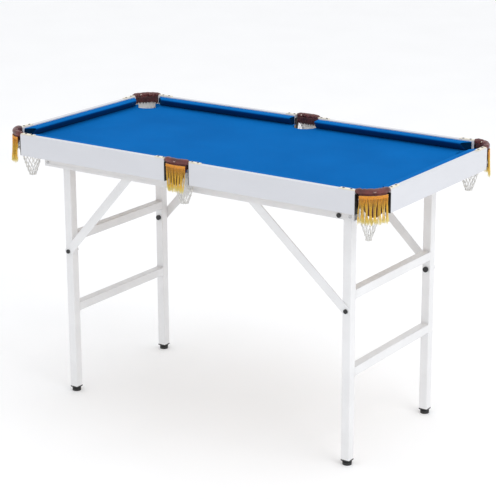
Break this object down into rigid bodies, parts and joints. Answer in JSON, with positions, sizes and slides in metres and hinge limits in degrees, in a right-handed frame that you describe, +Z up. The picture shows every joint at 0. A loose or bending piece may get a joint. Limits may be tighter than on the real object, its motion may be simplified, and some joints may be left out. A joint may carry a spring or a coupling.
{
  "type": "folding miniature pool table",
  "caption": "Folding miniature pool table: cloth bed with cushions and net pockets with leather and fringes, on two braced steel leg frames that fold flat.",
  "frame": {"origin": "on the floor under the middle of the table, at the underside of the four feet", "axes": "+X along the table's length, +Y across it, +Z up; left is -X and front is -Y"},
  "size_m": [1.203, 0.6556, 0.778],
  "materials": {
    "board": "raw chipboard, matt",
    "cloth": "short-pile blue playing cloth",
    "cushion": "rubber rail covered in blue cloth",
    "panel": "pale grey-white laminate, satin",
    "leather": "red-brown padded leather",
    "net": "white knotted string",
    "fringe": "gold braid and tassels",
    "strip": "black plastic strip",
    "bracket": "cream plastic",
    "dark_screw": "dark steel",
    "frame_paint": "white powder coat",
    "screw": "bare steel",
    "black_bolt": "black",
    "black_plastic": "black"
  },
  "bodies": {
    "table_top": {"bed_board": "board", "playfield_cloth": "cloth", "cushion_front_left": "cushion", "cushion_front_right": "cushion", "cushion_back_left": "cushion", "cushion_back_right": "cushion", "cushion_left": "cushion", "cushion_right": "cushion", "panel_front_left": "panel", "panel_front_right": "panel", "panel_back_left": "panel", "panel_back_right": "panel", "panel_left": "panel", "panel_right": "panel", "pocket_leather_front_left": "leather", "pocket_leather_front_right": "leather", "pocket_leather_back_left": "leather", "pocket_leather_back_right": "leather", "pocket_leather_front_middle": "leather", "pocket_leather_back_middle": "leather", "pocket_net_front_left": "net", "pocket_net_front_right": "net", "pocket_net_back_left": "net", "pocket_net_back_right": "net", "pocket_net_front_middle": "net", "pocket_net_back_middle": "net", "pocket_fringes": "fringe", "pocket_end_strips": "strip", "pocket_brackets": "bracket", "bracket_screws": "dark_screw", "rail_front": "frame_paint", "rail_back": "frame_paint", "cross_member_left": "frame_paint", "cross_member_right": "frame_paint", "rail_screws": "screw", "pivot_spacers": "screw", "pivot_bolts": "black_bolt"},
    "leg_frame_left": {"leg_left_front": "frame_paint", "leg_left_back": "frame_paint", "crossbar_left_upper": "frame_paint", "crossbar_left_lower": "frame_paint", "leg_caps_left": "black_plastic", "brace_bolts_left": "black_bolt"},
    "leg_frame_right": {"leg_right_front": "frame_paint", "leg_right_back": "frame_paint", "crossbar_right_upper": "frame_paint", "crossbar_right_lower": "frame_paint", "leg_caps_right": "black_plastic", "brace_bolts_right": "black_bolt"},
    "brace_left_front": {"brace_left_front": "frame_paint"},
    "brace_left_back": {"brace_left_back": "frame_paint"},
    "brace_right_front": {"brace_right_front": "frame_paint"},
    "brace_right_back": {"brace_right_back": "frame_paint"},
    "foot_left_front": {"leveler_left_front": "black_plastic"},
    "foot_left_back": {"leveler_left_back": "black_plastic"},
    "foot_right_front": {"leveler_right_front": "black_plastic"},
    "foot_right_back": {"leveler_right_back": "black_plastic"}
  },
  "joints": [
    {"name": "leg_fold_left", "type": "hinge", "parent": "table_top", "child": "leg_frame_left", "pos_m": [-0.458, 0, 0.7115], "axis": [0, -1, 0], "range_deg": [0, 90]},
    {"name": "brace_swing_left_front", "type": "hinge", "parent": "leg_frame_left", "child": "brace_left_front", "pos_m": [-0.458, -0.2218, 0.423], "axis": [0, -1, 0], "range_deg": [-138.2, 0.5]},
    {"name": "foot_screw_left_front", "type": "slide", "parent": "leg_frame_left", "child": "foot_left_front", "axis": [0, 0, -1], "range_m": [0, 0.01]},
    {"name": "brace_swing_left_back", "type": "hinge", "parent": "leg_frame_left", "child": "brace_left_back", "pos_m": [-0.458, 0.2218, 0.423], "axis": [0, -1, 0], "range_deg": [-138.2, 0.5]},
    {"name": "foot_screw_left_back", "type": "slide", "parent": "leg_frame_left", "child": "foot_left_back", "axis": [0, 0, -1], "range_m": [0, 0.01]},
    {"name": "leg_fold_right", "type": "hinge", "parent": "table_top", "child": "leg_frame_right", "pos_m": [0.458, 0, 0.6845], "axis": [0, 1, 0], "range_deg": [0, 90]},
    {"name": "brace_swing_right_front", "type": "hinge", "parent": "leg_frame_right", "child": "brace_right_front", "pos_m": [0.458, -0.2218, 0.423], "axis": [0, 1, 0], "range_deg": [-132.6, 0.5]},
    {"name": "foot_screw_right_front", "type": "slide", "parent": "leg_frame_right", "child": "foot_right_front", "axis": [0, 0, -1], "range_m": [0, 0.01]},
    {"name": "brace_swing_right_back", "type": "hinge", "parent": "leg_frame_right", "child": "brace_right_back", "pos_m": [0.458, 0.2218, 0.423], "axis": [0, 1, 0], "range_deg": [-132.6, 0.5]},
    {"name": "foot_screw_right_back", "type": "slide", "parent": "leg_frame_right", "child": "foot_right_back", "axis": [0, 0, -1], "range_m": [0, 0.01]}
  ],
  "couplings": [
    {"joint": "brace_swing_left_front", "follows": "leg_fold_left", "ratio": -1.5301},
    {"joint": "brace_swing_left_back", "follows": "leg_fold_left", "ratio": -1.5301},
    {"joint": "brace_swing_right_front", "follows": "leg_fold_right", "ratio": -1.4679},
    {"joint": "brace_swing_right_back", "follows": "leg_fold_right", "ratio": -1.4679}
  ]
}
